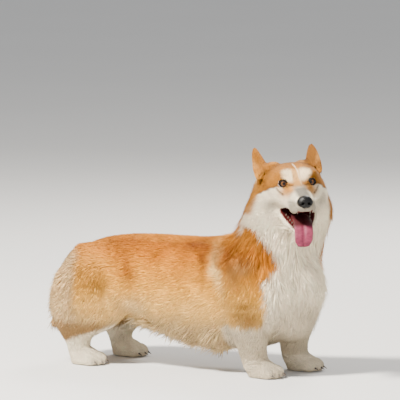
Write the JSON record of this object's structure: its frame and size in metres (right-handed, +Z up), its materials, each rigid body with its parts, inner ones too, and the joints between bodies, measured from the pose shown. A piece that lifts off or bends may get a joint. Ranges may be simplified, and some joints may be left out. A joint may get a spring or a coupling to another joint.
{
  "type": "pembroke welsh corgi",
  "caption": "Life-size standing Pembroke Welsh corgi with its head turned to its right and its mouth open, a still model that rests on its paws.",
  "frame": {"origin": "on the floor, under the middle of the dog's bounding box", "axes": "+X the way the body faces, +Y to the dog's left, +Z up; the head is turned about 53 degrees to the dog's right"},
  "size_m": [0.6202, 0.2567, 0.4565],
  "materials": {
    "belly": "coat, red-gold above and cream on the fringe below",
    "chest": "coat, white in front and red-gold on the shoulders",
    "neck": "coat, white ruff with a red-gold edge behind",
    "rump": "coat, red-gold",
    "head": "short coat, red-gold with a white blaze, muzzle and cheeks",
    "lower_jaw": "short white coat outside, wet dark red inside",
    "tail": "coat, red-gold",
    "ear": "very short coat, red-gold",
    "thigh": "coat, red-gold with cream breeches",
    "hock": "short coat, tan to white",
    "foreleg": "short coat, white with a red-gold elbow",
    "paw": "short white coat",
    "nose": "moist black leather",
    "eye": "wet, dark brown",
    "tongue": "wet, pink",
    "claw": "dark horn"
  },
  "bodies": {
    "root": {"belly": "belly", "chest": "chest", "ear_left": "ear", "ear_right": "ear", "eye_left": "eye", "eye_right": "eye", "fore_left_claw_1": "claw", "fore_left_claw_2": "claw", "fore_left_claw_3": "claw", "fore_left_claw_4": "claw", "fore_left_paw": "paw", "fore_right_claw_1": "claw", "fore_right_claw_2": "claw", "fore_right_claw_3": "claw", "fore_right_claw_4": "claw", "fore_right_paw": "paw", "foreleg_left": "foreleg", "foreleg_right": "foreleg", "head": "head", "hind_left_claw_1": "claw", "hind_left_claw_2": "claw", "hind_left_claw_3": "claw", "hind_left_claw_4": "claw", "hind_left_paw": "paw", "hind_right_claw_1": "claw", "hind_right_claw_2": "claw", "hind_right_claw_3": "claw", "hind_right_claw_4": "claw", "hind_right_paw": "paw", "hock_left": "hock", "hock_right": "hock", "lower_jaw": "lower_jaw", "neck": "neck", "nose": "nose", "rump": "rump", "tail": "tail", "thigh_left": "thigh", "thigh_right": "thigh", "tongue": "tongue"}
  },
  "joints": []
}
